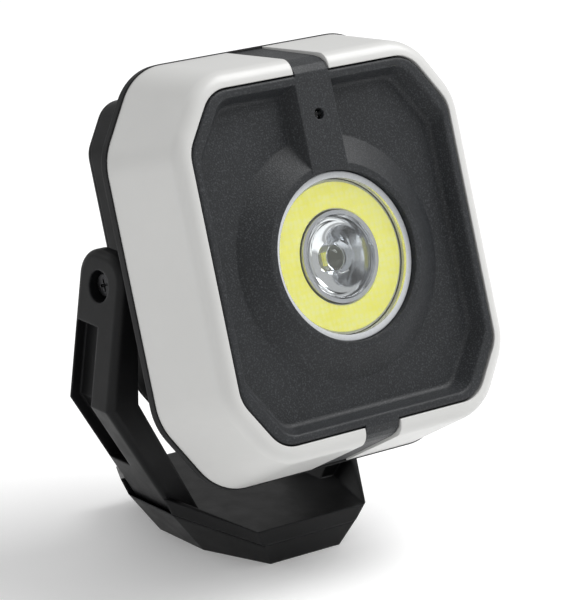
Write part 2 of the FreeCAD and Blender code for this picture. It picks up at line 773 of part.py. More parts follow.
def frontHousing():
    """Black front: textured panel, lens collar, rib, bridge band and the wall under the covers."""
    wall = S.coverWall
    thick = wall + S.housingWall
    radius = S.coverCornerRadius - wall
    outer = octagonPrism(housingFrontY, shrunk(coverFront, wall), S.coverDepth, shrunk(coverRear, wall),
                         radius)
    hollow = octagonPrism(panelBackY, shrunk(coverFront, thick), S.coverDepth, shrunk(coverRear, thick),
                          radius - S.housingWall)
    face = octagonPrism(0, panelOutline, housingFrontY + weld * 5, panelOutline, S.panelCornerRadius)
    # sunken floor inside a raised, softly rounded rim
    mouth = shrunk(panelOutline, S.panelRimWidth)
    floor = shrunk(mouth, S.panelWallSlope)
    recess = octagonPrism(0, mouth, panelFloorY, floor, S.recessCornerRadius)
    recess = recess.makeFillet(S.recessFloorRadius.number, edgesAtY(recess, panelFloorY))
    blank = outer.fuse(face).cut(recess)
    blank = blank.makeFillet(S.rimEdgeRadius.number, edgesAtY(blank, 0))
    body = bodyFrom("front_housing", blank.cut(hollow))
    # bridge band over the top and under the bottom, just below the covers' surface
    band = newSketch(body, "YZ_Plane", 0)
    front = S.coverFrontHalfHeight
    nose = [(0, 3.8), (0.9, 1.9), (2.4, 0.7), (4.6, -0.2)]  # depth and drop of its rounded front
    outline = [(0, S.panelHalfHeight - S.rimEdgeRadius * 2)]
    outline += [(depth, front - drop) for depth, drop in nose]
    outline += [
        (S.coverDepth, S.coverRearHalfHeight - S.bandStep),
        (S.coverDepth, S.coverRearHalfHeight - wall - past),
        (housingFrontY + past, front - wall - past * 2)]
    for side in (1, -1):
        polygon(band, [(u, dim(v) * side) for u, v in outline])
    pad(body, band, S.bandHalfWidth * 2, "both")
    # rib from the top of the rim down to the lens collar
    ribTop = newSketch(body, "XZ_Plane", -S.ribStep)
    ribTopZ = S.panelHalfHeight - S.rimEdgeRadius * 1.5
    rectangle(ribTop, -S.ribHalfWidth, S.ribBottomZ, S.ribHalfWidth, ribTopZ)
    ribFoot = newSketch(body, "XZ_Plane", -(panelFloorY + weld * 2))
    flare = S.ribHalfWidth + S.ribFlare
    rectangle(ribFoot, -flare, S.ribBottomZ, flare, ribTopZ)
    loft(body, ribTop, ribFoot)
    # conical collar around the lens
    collar = newSketch(body, "XY_Plane", S.lensOffsetZ)
    polygon(collar, [
        (0, S.collarStep), (collarRadius, S.collarStep), (collarFoot, panelFloorY + weld),
        (collarFoot, panelBackY), (0, panelBackY)])
    revolve(body, collar, "V_Axis")
    # lens bore with a ledge for the seal
    wideBore = newSketch(body, "XZ_Plane", -ledgeY)
    circle(wideBore, 0, S.lensOffsetZ, S.lensRadius + S.lensClearance)
    pocket(body, wideBore, ledgeY + past, "front")
    through = newSketch(body, "XZ_Plane", -(panelBackY + past))
    circle(through, 0, S.lensOffsetZ, ledgeRadius)
    pocket(body, through, panelBackY + past * 2, "front")
    # indicator hole in the rib
    pinhole = newSketch(body, "XZ_Plane", -(panelBackY + past))
    circle(pinhole, 0, S.indicatorZ, S.indicatorRadius)
    pocket(body, pinhole, panelBackY + past * 2, "front")
    # posts for the case screws
    posts = newSketch(body, "XZ_Plane", -S.coverDepth)
    pilots = newSketch(body, "XZ_Plane", -S.coverDepth)
    for u, v in mirrored4(S.caseScrewX, S.caseScrewZ):
        circle(posts, u, v, S.casePostRadius)
        circle(pilots, u, v, S.caseScrewRadius)
    pad(body, posts, S.coverDepth - panelBackY + weld * 5, "front")
    pocket(body, pilots, S.caseScrewBite + S.pilotExtra, "front")
    return body


def sideCover(label, side):
    """Pale C-shaped cover that wraps one side of the head; side is -1 for left and 1 for right.

    Its fillets run all round two flat-sided octagons, which a lofted body can't carry, so its
    shape is made directly from the sheet's values."""
    wall = S.coverWall
    outer = octagonPrism(0, coverFront, S.coverDepth, coverRear, S.coverCornerRadius)
    outer = outer.makeFillet(S.coverRollRadius.number, edgesAtY(outer, 0))
    inner = octagonPrism(wall, shrunk(coverFront, wall), S.coverDepth, shrunk(coverRear, wall),
                         S.coverCornerRadius - wall)
    window = shrunk(panelOutline, -S.coverGap)
    opening = octagonPrism(-past, window, wall + past, window, S.panelCornerRadius)
    reach = 2 * S.coverRearHalfHeight.number
    half = Part.makeBox(reach, reach, reach, FreeCAD.Vector(-reach / 2, -reach / 2, -reach / 2))
    edge = (S.bandHalfWidth + S.bandGroove).number
    half.translate(FreeCAD.Vector((edge + reach / 2) * side, 0, 0))
    cover = doc.addObject("Part::Feature", label)
    cover.Label = label
    cover.Shape = outer.cut(inner).cut(opening).common(half)
    cover.Placement = headPlace
    pieces.append(cover)
    return cover


def rearShell():
    """Black rear shell: rim flange behind the covers, neck, and the box that holds the power pack."""
    over = S.rimOverhang
    wall = S.boxWall
    radius = S.boxCornerRadius
    flange = shrunk(coverRear, -over)
    rim = octagonPrism(shellFrontY, flange, neckY, flange, S.coverCornerRadius + over)
    # the neck ends in a small ledge around the box, outside and inside
    ledge = S.boxLedge
    neck = octagonPrism(neckY, neckOutline, S.boxStartDepth, shrunk(boxOutline, -ledge), radius)
    box = octagonPrism(S.boxStartDepth - past, boxOutline, S.boxEndDepth, boxOutline, radius)
    mouth = octagonPrism(shellFrontY, shrunk(neckOutline, wall), S.boxStartDepth + past,
                         shrunk(boxOutline, wall + ledge), radius - wall)
    inside = octagonPrism(S.boxStartDepth, shrunk(boxOutline, wall), S.boxEndDepth, shrunk(boxOutline, wall),
                          radius - wall)
    body = bodyFrom("rear_shell", rim.fuse(neck).fuse(box).cut(mouth).cut(inside))
    # pivot bosses on the side walls, with blind sockets for the brass inserts
    root = S.boxHalfWidth - wall / 2
    for side, outwards, inwards in ((1, "right", "left"), (-1, "left", "right")):
        boss = newSketch(body, "YZ_Plane", root * side)
        circle(boss, S.pivotDepth, S.pivotAbovePanel, S.pivotBossRadius)
        pad(body, boss, bossFaceX - root, outwards)
        hole = newSketch(body, "YZ_Plane", bossFaceX * side)
        circle(hole, S.pivotDepth, S.pivotAbovePanel, S.insertRadius)
        pocket(body, hole, S.insertLength, inwards)
    # posts inside the box for the rear cover's screws
    posts = newSketch(body, "XZ_Plane", -rearCoverY)
    pilots = newSketch(body, "XZ_Plane", -rearCoverY)
    for u, v in mirrored4(S.coverScrewX, S.coverScrewZ, S.boxCentreZ):
        circle(posts, u, v, S.casePostRadius)
        circle(pilots, u, v, S.caseScrewRadius)
    pad(body, posts, S.coverPostLength, "front")
    pocket(body, pilots, S.coverScrewLength + S.pilotExtra, "front")
    # recessed holes for the case screws in the neck's corners
    recess = newSketch(body, "XZ_Plane", -neckY)
    holes = newSketch(body, "XZ_Plane", -shellFrontY)
    for u, v in mirrored4(S.caseScrewX, S.caseScrewZ):
        circle(recess, u, v, S.caseScrewHeadRadius + S.caseScrewRecessClearance)
        circle(holes, u, v, S.caseScrewRadius + S.shankClearance)
    pocket(body, recess, S.boxEndDepth, "back")
    pocket(body, holes, S.boxEndDepth, "back")
    return body


def rearCover():
    plate = octagonPrism(rearCoverY + S.shellGap, boxOutline, rearFaceY, boxOutline, S.boxCornerRadius)
    body = bodyFrom("rear_cover", plate.makeFillet(S.rearEdgeRadius.number, edgesAtY(plate, rearFaceY)))
    cuts = newSketch(body, "XZ_Plane", -rearCoverY)
    circle(cuts, 0, S.buttonZ, S.buttonRadius + S.buttonClearance)
    port = S.portHalfWidth + S.portWall + S.portClearance
    portHigh = S.portHalfHeight + S.portWall + S.portClearance
    rectangle(cuts, -port, S.portZ - portHigh, port, S.portZ + portHigh)
    pocket(body, cuts, S.rearCoverThickness + past, "back")
    flap = newSketch(body, "XZ_Plane", -rearFaceY)
    width = S.flapHalfWidth + S.flapClearance
    height = S.flapHalfHeight + S.flapClearance
    rectangle(flap, -width, S.portZ - height, width, S.portZ + height)
    pocket(body, flap, S.flapThickness - S.flapProud + S.flapSeatGap, "front")
    heads = newSketch(body, "XZ_Plane", -rearFaceY)
    holes = newSketch(body, "XZ_Plane", -rearCoverY)
    for u, v in mirrored4(S.coverScrewX, S.coverScrewZ, S.boxCentreZ):
        circle(heads, u, v, S.caseScrewHeadRadius + S.headClearance)
        circle(holes, u, v, S.caseScrewRadius + S.shankClearance)
    pocket(body, heads, S.coverScrewRecess, "front")
    pocket(body, holes, S.rearCoverThickness + past, "back")
    return body


def powerButton():
    body = newBody("power_button", headPlace)
    flangeY = buttonInnerY + S.buttonFlange
    topY = rearFaceY + S.buttonProud
    cap = newSketch(body, "XZ_Plane", -flangeY)
    circle(cap, 0, S.buttonZ, S.buttonRadius)
    pad(body, cap, topY - flangeY, "back")
    top = topY.number - touching
    dress(body, "Fillet", S.buttonEdgeRadius, lambda e: e.CenterOfMass.y > top)
    flange = newSketch(body, "XZ_Plane", -flangeY)
    circle(flange, 0, S.buttonZ, S.buttonRadius + S.buttonFlangeWidth)
    pad(body, flange, S.buttonFlange, "front")
    return body


def tactileSwitch():
    body = newBody("tactile_switch", headPlace)
    case = newSketch(body, "XZ_Plane", -boardBackY)
    rectangle(case, -S.switchHalf, S.buttonZ - S.switchHalf, S.switchHalf, S.buttonZ + S.switchHalf)
    pad(body, case, S.switchHeight, "back")
    stem = newSketch(body, "XZ_Plane", -(boardBackY + S.switchHeight))
    circle(stem, 0, S.buttonZ, S.switchStemRadius)
    # the stem ends where the pressed button stops
    rest = buttonInnerY - S.buttonTravel - S.switchPlay
    pad(body, stem, rest - (boardBackY + S.switchHeight), "back")
    return body


def mainBoard():
    body = newBody("main_board", headPlace)
    board = newSketch(body, "XZ_Plane", -S.boardFrontDepth)
    rectangle(board, -S.boardHalfWidth, S.boxCentreZ - S.boardHalfHeight,
              S.boardHalfWidth, S.boxCentreZ + S.boardHalfHeight)
    for u, v in mirrored4(S.boardScrewX, S.boardScrewZ, S.boxCentreZ):
        circle(board, u, v, S.boardHoleRadius)
    pad(body, board, S.boardThickness, "back")
    return body


def boardScrews():
    places = mirrored4(S.boardScrewX, S.boardScrewZ, S.boxCentreZ)
    start = -(boardBackY + S.boardScrewHeadHeight)
    return screwGroup("board_screws", headPlace, "XZ_Plane", places, start, S.boardScrewHeadRadius,
                      S.boardScrewHeadHeight, S.boardScrewRadius, S.boardScrewLength, "front")


def chargeSocket():
    """Metal shell of the charging socket, open at the back."""
    body = newBody("charge_socket", headPlace)
    shell = newSketch(body, "XZ_Plane", -boardBackY)
    w, t = S.portHalfWidth + S.portWall, S.portHalfHeight + S.portWall
    rectangle(shell, -w, S.portZ - t, w, S.portZ + t)
    pad(body, shell, S.portDepth, "back")
    mouth = newSketch(body, "XZ_Plane", -(boardBackY + S.portDepth))
    rectangle(mouth, -S.portHalfWidth, S.portZ - S.portHalfHeight, S.portHalfWidth, S.portZ + S.portHalfHeight)
    pocket(body, mouth, S.portDepth - S.portBackWall, "front")
    tongue = newSketch(body, "XZ_Plane", -(boardBackY + S.portBackWall - weld * 2))
    w, t = S.tongueHalfWidth, S.tongueHalfHeight
    rectangle(tongue, -w, S.portZ - t, w, S.portZ + t)
    pad(body, tongue, S.portDepth - S.portBackWall - S.tongueSetback + weld * 2, "back")
    return body


def portCover():
    """Rubber flap over the charging socket, hinged along its lower edge."""
    body = newBody("port_cover", headPlace)
    front = rearFaceY - S.flapThickness + S.flapProud
    roll = S.flapThickness / 2
    hingeZ = S.portZ - S.flapHalfHeight + roll
    plate = newSketch(body, "XZ_Plane", -front)
    rectangle(plate, -S.flapHalfWidth, hingeZ, S.flapHalfWidth, S.portZ + S.flapHalfHeight)
    pad(body, plate, S.flapThickness, "back")
    hinge = newSketch(body, "YZ_Plane", 0)
    circle(hinge, front + roll, hingeZ, roll)
    pad(body, hinge, S.flapHalfWidth * 2, "both")
    # small ridge for a fingernail, near the free edge
    lip = newSketch(body, "XZ_Plane", -(front + S.flapThickness))
    lipTopZ = S.portZ + S.flapHalfHeight - S.flapLipInset
    rectangle(lip, -S.flapLipHalfWidth, lipTopZ - S.flapLipHeight, S.flapLipHalfWidth, lipTopZ)
    pad(body, lip, S.flapLipProud, "back")
    return body


def lens():
    body = newBody("lens", headPlace)
    profile = newSketch(body, "XY_Plane", S.lensOffsetZ)
    bevel = 0.4
    polygon(profile, [
        (0, S.lensRecess), (S.lensRadius - bevel, S.lensRecess), (S.lensRadius, S.lensRecess + bevel),
        (S.lensRadius, lensBackY), (0, lensBackY)])
    revolve(body, profile, "V_Axis")
    return body


def washerRing(label, innerRadius, outerRadius, front, thickness):
    """Flat ring around the lens axis."""
    body = newBody(label, headPlace)
    ring = newSketch(body, "XZ_Plane", -dim(front))
    circle(ring, 0, S.lensOffsetZ, outerRadius)
    circle(ring, 0, S.lensOffsetZ, innerRadius)
    pad(body, ring, thickness, "back")
    return body


def spotOptic():
    """Thin conical reflector cup with a rolled rim."""
    body = newBody("spot_optic", headPlace)
    wall = S.opticWall
    cup = newSketch(body, "XY_Plane", S.lensOffsetZ)
    waistY = opticFrontY + S.opticWaistDepth
    waist = S.opticWaistRadius
    polygon(cup, [
        (S.opticRadius - wall, opticFrontY), (S.opticRadius, opticFrontY),
        (S.opticRadius, opticFrontY + wall), (waist + wall, waistY),
        (S.opticThroatRadius + wall, opticBackY), (S.opticThroatRadius, opticBackY),
        (waist, waistY)])
    revolve(body, cup, "V_Axis")
    return body


def disc(label, radius, front, thickness):
    body = newBody(label, headPlace)
    face = newSketch(body, "XZ_Plane", -dim(front))
    circle(face, 0, S.lensOffsetZ, radius)
    pad(body, face, thickness, "back")
    return body


def spotLed():
    body = newBody("spot_led", headPlace)
    chip = newSketch(body, "XZ_Plane", -spotBoardY)
    half = S.spotLedHalf
    rectangle(chip, -half, S.lensOffsetZ - half, half, S.lensOffsetZ + half)
    pad(body, chip, S.spotLedHeight, "front")
    return body


def heatSink():
    """Aluminium heat sink: a plate with a central well for the spot board, and fins behind."""
    body = newBody("heat_sink", headPlace)
    profile = newSketch(body, "XY_Plane", S.lensOffsetZ)
    well = S.opticRadius + S.opticClearance
    front = ledBoardY + S.ledBoardThickness
    plateY = panelBackY + S.shellGap
    neck = ledgeRadius - S.opticClearance
    wall = S.sinkWall
    polygon(profile, [
        (well, front), (neck, front), (neck, plateY), (S.sinkRadius, plateY),
        (S.sinkRadius, plateY + S.sinkPlate), (well + wall, plateY + S.sinkPlate),
        (well + wall, sinkFloorY + wall), (0, sinkFloorY + wall), (0, sinkFloorY), (well, sinkFloorY)])
    revolve(body, profile, "V_Axis")
    fins = newSketch(body, "XZ_Plane", -(plateY + S.sinkPlate - weld * 2))
    for step in range(-3, 4):
        middle = S.finPitch * step
        inset = (S.sinkRadius - S.finThickness / 2).number
        reach = math.sqrt(inset ** 2 - middle.number ** 2) / S.sinkRadius.number
        rectangle(fins, middle - S.finThickness / 2, S.lensOffsetZ - S.sinkRadius * reach,
                  middle + S.finThickness / 2, S.lensOffsetZ + S.sinkRadius * reach)
    pad(body, fins, S.sinkDepth - S.sinkPlate, "back")
    clear = newSketch(body, "XZ_Plane", -sinkFloorY)
    circle(clear, 0, S.lensOffsetZ, well)
    pocket(body, clear, S.sinkDepth, "front")
    return body


def indicatorPipe():
    body = newBody("indicator_light", headPlace)
    profile = newSketch(body, "XY_Plane", S.indicatorZ)
    radius = S.indicatorRadius - S.shellGap
    tipY = S.ribStep + S.indicatorRecess
    footY = panelBackY + S.shellGap
    flange = S.indicatorFlange
    polygon(profile, [
        (0, tipY), (radius, tipY + S.indicatorCrown), (radius, footY), (radius + flange, footY),
        (radius + flange, footY + flange), (0, footY + flange)])
    revolve(body, profile, "V_Axis")
    return body


def batteryPack():
    body = newBody("battery_pack", headPlace)
    cell = newSketch(body, "XZ_Plane", -S.batteryFrontDepth)
    rectangle(cell, -S.batteryHalfWidth, S.boxCentreZ - S.batteryHalfHeight,
              S.batteryHalfWidth, S.boxCentreZ + S.batteryHalfHeight)
    pad(body, cell, S.batteryThickness, "back")
    dress(body, "Fillet", S.batteryEdgeRadius, lambda e: edgeRuns(e, alongZ))
    return body


def batteryCradle():
    """Open tray behind the front housing that the battery pack sits in; it carries the main board."""
    body = newBody("battery_cradle", headPlace)
    wall = S.cradleWall
    gap = S.batteryClearance
    w, t = S.batteryHalfWidth + gap + wall, S.batteryHalfHeight + gap + wall
    start = S.batteryFrontDepth + S.cradleSetback
    end = S.batteryFrontDepth + S.batteryThickness + gap + wall
    block = newSketch(body, "XZ_Plane", -start)
    rectangle(block, -w, S.boxCentreZ - t, w, S.boxCentreZ + t)
    pad(body, block, end - start, "back")
    # four ears that reach the side walls of the rear box
    ears = newSketch(body, "XZ_Plane", -S.boxStartDepth)
    reach = S.boxHalfWidth - S.boxWall - S.cradleClearance
    for side in (1, -1):
        earZ = S.boxCentreZ + S.earOffset * side
        rectangle(ears, -reach, earZ - S.earHalfHeight, reach, earZ + S.earHalfHeight)
    pad(body, ears, end - S.boxStartDepth, "back")
    cavity = newSketch(body, "XZ_Plane", -start)
    rectangle(cavity, wall - w, S.boxCentreZ - t + wall, w - wall, S.boxCentreZ + t - wall)
    pocket(body, cavity, end - start - wall, "back")
    posts = newSketch(body, "XZ_Plane", -(end - weld * 2))
    pilots = newSketch(body, "XZ_Plane", -S.boardFrontDepth)
    for u, v in mirrored4(S.boardScrewX, S.boardScrewZ, S.boxCentreZ):
        circle(posts, u, v, S.boardPostRadius)
        circle(pilots, u, v, S.boardScrewRadius)
    pad(body, posts, S.boardFrontDepth - end + weld * 2, "back")
    pocket(body, pilots, S.boardPilotDepth, "front")
    return body


def buildAll():
    standBracket()
    footCover()
    footMagnets()
    footScrews()
    pivotScrews()
    sideRings("friction_washers", bossFaceX + S.frictionClearance, S.frictionThickness - S.frictionClearance,
              S.frictionRadius, S.pivotShoulderRadius + S.washerBoreClearance)
    sideRings("threaded_inserts", bossFaceX - S.insertLength, S.insertLength,
              S.insertRadius, S.pivotThreadRadius)
    frontHousing()
    sideCover("left_cover", -1)
    sideCover("right_cover", 1)
    rearShell()
    rearCover()
    powerButton()
    tactileSwitch()
    mainBoard()
    boardScrews()
    chargeSocket()
    portCover()
    lens()
    washerRing("lens_seal", ledgeRadius, S.lensRadius, lensBackY, S.sealThickness)
    washerRing("flood_led_ring", cobInnerRadius, cobOuterRadius, cobFrontY, S.cobThickness)
    washerRing("led_board", S.opticRadius + S.opticClearance, ledBoardRadius, ledBoardY,
               S.ledBoardThickness)
    spotOptic()
    spotLed()
    disc("spot_board", S.spotBoardRadius, spotBoardY, S.spotBoardThickness)
    heatSink()
    indicatorPipe()
    batteryPack()
    batteryCradle()
    screwGroup("case_screws", headPlace, "XZ_Plane", mirrored4(S.caseScrewX, S.caseScrewZ),
               -(neckY + S.caseScrewHeadHeight), S.caseScrewHeadRadius, S.caseScrewHeadHeight,
               S.caseScrewRadius, S.rimThickness + S.caseScrewBite, "front")
    screwGroup("cover_screws", headPlace, "XZ_Plane", mirrored4(S.coverScrewX, S.coverScrewZ, S.boxCentreZ),
               -(rearFaceY - S.coverScrewSink), S.caseScrewHeadRadius, S.coverScrewRecess - S.coverScrewSink,
               S.caseScrewRadius, S.coverScrewLength, "front")


buildAll()
doc.recompute()
bad = [o.Name + " of " + (o.getParentGeoFeatureGroup().Label if o.getParentGeoFeatureGroup() else "-")
       for o in doc.Objects if "Invalid" in o.State or "Error" in o.State]
for body in pieces:
    shape = body.Shape
    if shape.isNull() or not shape.isValid():
        bad.append(body.Label)
if bad:
    raise SystemExit("not built: " + ", ".join(bad))

os.makedirs("parts", exist_ok=True)
for body in pieces:
    body.Shape.exportStep("parts/%s.step" % body.Label)
    box = body.Shape.BoundBox
    print("%-18s %d solids %9.1f mm3  x %.1f..%.1f y %.1f..%.1f z %.1f..%.1f" % (
        body.Label, len(body.Shape.Solids), body.Shape.Volume,
        box.XMin, box.XMax, box.YMin, box.YMax, box.ZMin, box.ZMax))
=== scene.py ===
import math

import bmesh
import bpy
from mathutils import Matrix, Vector


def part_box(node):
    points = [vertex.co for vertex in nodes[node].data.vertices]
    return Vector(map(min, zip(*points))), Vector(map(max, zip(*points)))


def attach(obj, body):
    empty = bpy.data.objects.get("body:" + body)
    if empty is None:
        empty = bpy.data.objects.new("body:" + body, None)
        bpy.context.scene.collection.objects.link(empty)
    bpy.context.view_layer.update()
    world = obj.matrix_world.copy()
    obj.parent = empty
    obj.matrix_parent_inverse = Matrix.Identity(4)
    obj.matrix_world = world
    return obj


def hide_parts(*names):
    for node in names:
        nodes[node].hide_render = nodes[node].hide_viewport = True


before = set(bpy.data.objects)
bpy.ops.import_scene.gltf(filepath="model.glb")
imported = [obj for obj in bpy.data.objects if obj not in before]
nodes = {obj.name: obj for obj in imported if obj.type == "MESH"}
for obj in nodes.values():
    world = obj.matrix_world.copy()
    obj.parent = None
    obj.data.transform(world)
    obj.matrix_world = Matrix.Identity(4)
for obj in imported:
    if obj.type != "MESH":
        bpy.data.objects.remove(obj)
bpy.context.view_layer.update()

mm = 0.001

# how the head stands at rest
headLook = {
    "tiltBack": 19.0,  # degrees from upright
}
tilt = math.radians(headLook["tiltBack"])
headBack = Vector((0, math.cos(tilt), -math.sin(tilt)))
headUp = Vector((0, math.sin(tilt), math.cos(tilt)))


def boxCentre(node):
    low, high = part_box(node)
    return (low + high) / 2


def headMatrix(origin):
    # x to the right, y towards the back of the head, z up along the head
    turn = Matrix((Vector((1, 0, 0)), headBack, headUp)).transposed().to_4x4()
    return Matrix.Translation(origin) @ turn


# small helpers for the materials

def newMaterial(name):
    material = bpy.data.materials.new(name)
    material.use_nodes = True
    shader = material.node_tree.nodes["Principled BSDF"]
    return material, material.node_tree, shader


def addNode(tree, kind, inputs=None, **settings):
    node = tree.nodes.new("ShaderNode" + kind)
    for key, value in settings.items():
        setattr(node, key, value)
    for key, value in (inputs or {}).items():
        if isinstance(value, bpy.types.NodeSocket):
            tree.links.new(value, node.inputs[key])
        else:
            node.inputs[key].default_value = value
    return node


def noiseAt(tree, size, detail=2.0, rough=0.5):
    # noise in the piece's own space; size is the grain's width in millimetres
    place = addNode(tree, "TexCoord")
    return addNode(tree, "TexNoise", {
        "Vector": place.outputs["Object"], "Scale": 1 / (size * mm), "Detail": detail,
        "Roughness": rough}).outputs["Fac"]


def spread(tree, source, low, high, fromLow=0.3, fromHigh=0.7):
    return addNode(tree, "MapRange", {
        "Value": source, "From Min": fromLow, "From Max": fromHigh,
        "To Min": low, "To Max": high}).outputs["Result"]


def blendColours(tree, factor, first, second):
    mix = tree.nodes.new("ShaderNodeMix")
    mix.data_type = "RGBA"
    colourInputs = [s for s in mix.inputs if s.type == "RGBA"]
    tree.links.new(factor, mix.inputs[0])
    for socket, value in zip(colourInputs, (first, second)):
        if isinstance(value, bpy.types.NodeSocket):
            tree.links.new(value, socket)
        else:
            socket.default_value = (*value, 1)
    return [s for s in mix.outputs if s.type == "RGBA"][0]


edgeLook = {
    "rubbedFrom": 0.995, "rubbedTo": 0.86,  # how alike the true and the rounded normal are
    "patchShare": 0.4, "patchLeast": 0.2, "roughShare": 0.7,  # sizes as shares of the mottle's
    "fleckFrom": 0.5, "fleckTo": 0.8, "coatRoughness": 0.2,
}


def mouldedFinish(name, look):
    # moulded plastic, rubber or metal: grain, mottle, rounded and slightly rubbed edges
    material, tree, shader = newMaterial(name)
    rounded = addNode(tree, "Bevel", {"Radius": look["edgeRadius"] * mm}, samples=4).outputs["Normal"]
    plain = addNode(tree, "NewGeometry").outputs["Normal"]
    alike = addNode(tree, "VectorMath", {0: rounded, 1: plain}, operation="DOT_PRODUCT").outputs["Value"]
    rubbed = spread(tree, alike, 1.0, 0.0, edgeLook["rubbedTo"], edgeLook["rubbedFrom"])
    patches = noiseAt(tree, look["mottleSize"] * edgeLook["patchShare"], 4.0, 0.6)
    patches = spread(tree, patches, edgeLook["patchLeast"], 1.0)
    rubbed = addNode(tree, "Math", {0: rubbed, 1: patches}, operation="MULTIPLY").outputs[0]
    mottle = noiseAt(tree, look["mottleSize"], 5.0, 0.6)
    base = look["colour"]
    shade = blendColours(tree, spread(tree, mottle, 0.0, 1.0), base, [c * look["mottleShade"] for c in base])
    fleck = spread(tree, noiseAt(tree, look["grain"], 1.0, 0.4), 0.0, look["fleck"],
                   edgeLook["fleckFrom"], edgeLook["fleckTo"])
    shade = blendColours(tree, fleck, shade, look["fleckColour"])
    worn = addNode(tree, "Math", {0: rubbed, 1: look["edgeWear"]}, operation="MULTIPLY").outputs[0]
    shade = blendColours(tree, worn, shade, look["edgeColour"])
    tree.links.new(shade, shader.inputs["Base Color"])
    rough = spread(tree, noiseAt(tree, look["mottleSize"] * edgeLook["roughShare"], 3.0, 0.6),
                   look["roughness"] - look["roughSpread"], look["roughness"] + look["roughSpread"])
    tree.links.new(rough, shader.inputs["Roughness"])
    grain = noiseAt(tree, look["grain"], 3.0, 0.65)
    bump = addNode(tree, "Bump", {
        "Height": grain, "Normal": rounded, "Distance": look["grainHeight"] * mm, "Strength": 1.0})
    tree.links.new(bump.outputs["Normal"], shader.inputs["Normal"])
    shader.inputs["Metallic"].default_value = look.get("metal", 0.0)
    shader.inputs["Specular IOR Level"].default_value = look.get("specular", 0.5)
    shader.inputs["Coat Weight"].default_value = look.get("coat", 0.0)
    shader.inputs["Coat Roughness"].default_value = edgeLook["coatRoughness"]
    return material


def finishLike(base, **changes):
    look = dict(base)
    look.update(changes)
    return look


def useMaterial(node, material):
    piece = nodes[node] if isinstance(node, str) else node
    slots = piece.data.materials
    if not len(slots):
        slots.append(material)
    for i in range(len(slots)):
        slots[i] = material


# stand and other black plastic

nylonLook = {
    "colour": (0.0052, 0.0053, 0.0056), "mottleShade": 1.35, "mottleSize": 9.0,
    "grain": 0.30, "grainHeight": 0.016, "fleck": 0.25, "fleckColour": (0.018, 0.0185, 0.020),
    "roughness": 0.40, "roughSpread": 0.05, "edgeRadius": 0.9, "edgeWear": 0.45,
    "edgeColour": (0.05, 0.052, 0.056), "specular": 0.16,
}
panelLook = finishLike(
    nylonLook, colour=(0.0135, 0.0148, 0.0165), grain=0.42, grainHeight=0.11, fleck=0.7,
    fleckColour=(0.064, 0.068, 0.074), roughness=0.48, edgeRadius=0.55, mottleSize=14.0, specular=0.30)
shellLook = finishLike(nylonLook, roughness=0.46, edgeRadius=0.7, grain=0.36, grainHeight=0.025)
cradleLook = finishLike(nylonLook, roughness=0.6, edgeRadius=0.3, mottleSize=6.0)
footLook = finishLike(nylonLook, roughness=0.44, colour=(0.0050, 0.0051, 0.0053), mottleSize=7.0)

nylon = mouldedFinish("satinNylon", nylonLook)
panel = mouldedFinish("sparkPanel", panelLook)
shellPlastic = mouldedFinish("shellPlastic", shellLook)
cradlePlastic = mouldedFinish("cradlePlastic", cradleLook)
footPlastic = mouldedFinish("footPlastic", footLook)
useMaterial("stand_bracket", nylon)
useMaterial("foot_cover", footPlastic)
useMaterial("front_housing", panel)
useMaterial("rear_shell", shellPlastic)
useMaterial("rear_cover", shellPlastic)
useMaterial("battery_cradle", cradlePlastic)
useMaterial("tactile_switch", cradlePlastic)
print("black plastic done")

# pale covers

coverLook = {
    "colour": (0.600, 0.600, 0.588), "mottleShade": 0.97, "mottleSize": 22.0,
    "grain": 0.22, "grainHeight": 0.006, "fleck": 0.10, "fleckColour": (0.50, 0.50, 0.47),
    "roughness": 0.36, "roughSpread": 0.05, "edgeRadius": 0.5, "edgeWear": 0.25,
    "edgeColour": (0.70, 0.70, 0.68), "specular": 0.5, "coat": 0.08,
}
pale = mouldedFinish("paleCover", coverLook)
useMaterial("left_cover", pale)
useMaterial("right_cover", pale)
print("covers done")

# rubber

rubberLook = finishLike(
    nylonLook, colour=(0.018, 0.018, 0.019), roughness=0.72, specular=0.3, grain=0.20,
    grainHeight=0.012, edgeRadius=0.35, edgeWear=0.15)
sealLook = finishLike(
    rubberLook, colour=(0.84, 0.85, 0.87), mottleShade=0.92, fleckColour=(0.9, 0.9, 0.9),
    edgeColour=(0.95, 0.95, 0.95), roughness=0.35)
rubber = mouldedFinish("softRubber", rubberLook)
silicone = mouldedFinish("clearSilicone", sealLook)
for node in ("power_button", "port_cover", "friction_washers"):
    useMaterial(node, rubber)
useMaterial("lens_seal", silicone)

# metals

darkSteelLook = {
    "colour": (0.045, 0.045, 0.048), "mottleShade": 0.7, "mottleSize": 1.2,
    "grain": 0.10, "grainHeight": 0.004, "fleck": 0.3, "fleckColour": (0.12, 0.12, 0.12),
    "roughness": 0.34, "roughSpread": 0.08, "edgeRadius": 0.15, "edgeWear": 0.8,
    "edgeColour": (0.35, 0.35, 0.36), "metal": 1.0,
}
brightSteelLook = finishLike(
    darkSteelLook, colour=(0.60, 0.60, 0.59), fleckColour=(0.7, 0.7, 0.7), edgeColour=(0.85, 0.85, 0.85),
    mottleShade=0.85, roughness=0.26)
brassLook = finishLike(
    brightSteelLook, colour=(0.70, 0.50, 0.20), fleckColour=(0.8, 0.62, 0.3), edgeColour=(0.9, 0.75, 0.4))
sinkLook = finishLike(brightSteelLook, colour=(0.66, 0.66, 0.67), roughness=0.38, mottleSize=5.0, grain=0.2)
magnetLook = finishLike(brightSteelLook, colour=(0.58, 0.57, 0.55), roughness=0.18, mottleSize=4.0)
darkSteel = mouldedFinish("blackOxide", darkSteelLook)
brightSteel = mouldedFinish("zincSteel", brightSteelLook)
for node in ("pivot_screws", "foot_screws", "case_screws", "cover_screws"):
    useMaterial(node, darkSteel)
for node in ("board_screws", "charge_socket"):
    useMaterial(node, brightSteel)
